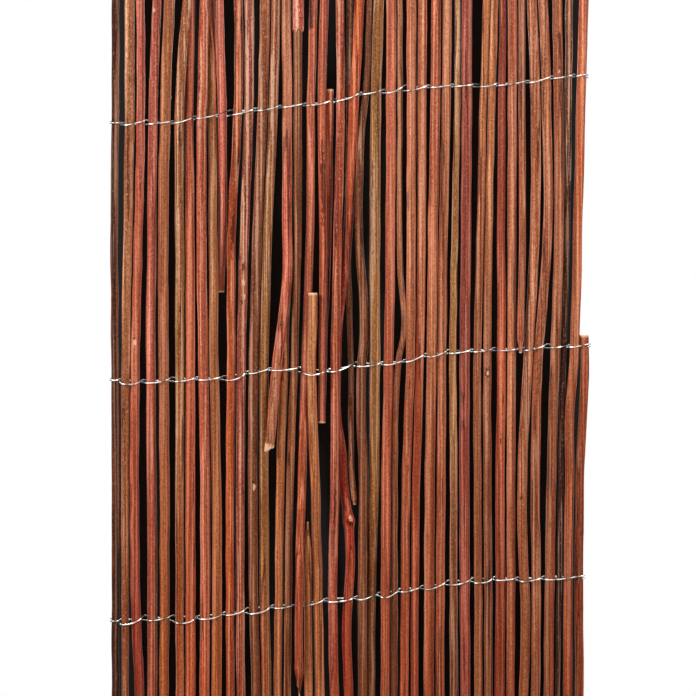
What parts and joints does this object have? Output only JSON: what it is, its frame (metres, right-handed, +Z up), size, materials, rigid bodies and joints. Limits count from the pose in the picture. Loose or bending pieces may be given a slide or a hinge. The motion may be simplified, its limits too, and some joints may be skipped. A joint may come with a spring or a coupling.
{
  "type": "willow screening mat",
  "caption": "Flat panel of upright willow rods with the bark on, laid side by side and bound by rows of twisted wire, for screening a fence, gate or railing.",
  "frame": {"origin": "middle of the bottom edge, half-way through the thickness of the mat", "axes": "+Z up along the rods, +X to the right across the mat seen from its face, -Y out of the face"},
  "size_m": [0.2409, 0.0164, 0.372],
  "materials": {
    "willow_brown": "bark on, satin",
    "willow_olive": "bark on, satin",
    "willow_crimson": "bark on, satin",
    "willow_mauve": "bark on, satin",
    "willow_tan": "bark on, satin",
    "willow_salmon": "bark on, satin",
    "willow_orange": "bark on, satin",
    "willow_scarlet": "bark on, satin",
    "galvanised_wire": "dull zinc coat"
  },
  "bodies": {
    "root": {"rod_01": "willow_brown", "rod_02": "willow_olive", "rod_03": "willow_crimson", "rod_04": "willow_mauve", "rod_05": "willow_tan", "rod_06": "willow_olive", "rod_07": "willow_crimson", "rod_08": "willow_brown", "rod_09": "willow_olive", "rod_10": "willow_salmon", "rod_11": "willow_orange", "rod_12": "willow_brown", "rod_13": "willow_orange", "rod_14": "willow_olive", "rod_15": "willow_salmon", "rod_16": "willow_orange", "rod_17": "willow_olive", "rod_18": "willow_salmon", "rod_19": "willow_brown", "rod_20": "willow_tan", "rod_21": "willow_orange", "rod_22": "willow_orange", "rod_23": "willow_mauve", "rod_24": "willow_scarlet", "rod_25": "willow_brown", "rod_26": "willow_mauve", "rod_27": "willow_olive", "rod_28": "willow_salmon", "rod_29": "willow_olive", "rod_30": "willow_tan", "rod_31": "willow_salmon", "rod_32": "willow_salmon", "rod_33": "willow_salmon", "rod_34": "willow_olive", "rod_35": "willow_crimson", "rod_36": "willow_salmon", "rod_37": "willow_tan", "rod_38": "willow_orange", "rod_39": "willow_salmon", "rod_40": "willow_tan", "rod_41": "willow_tan", "rod_42": "willow_tan", "rod_43": "willow_orange", "rod_44": "willow_olive", "rod_45": "willow_salmon", "rod_46": "willow_brown", "wire_upper_a": "galvanised_wire", "wire_upper_b": "galvanised_wire", "wire_middle_a": "galvanised_wire", "wire_middle_b": "galvanised_wire", "wire_lower_a": "galvanised_wire", "wire_lower_b": "galvanised_wire"}
  },
  "joints": []
}
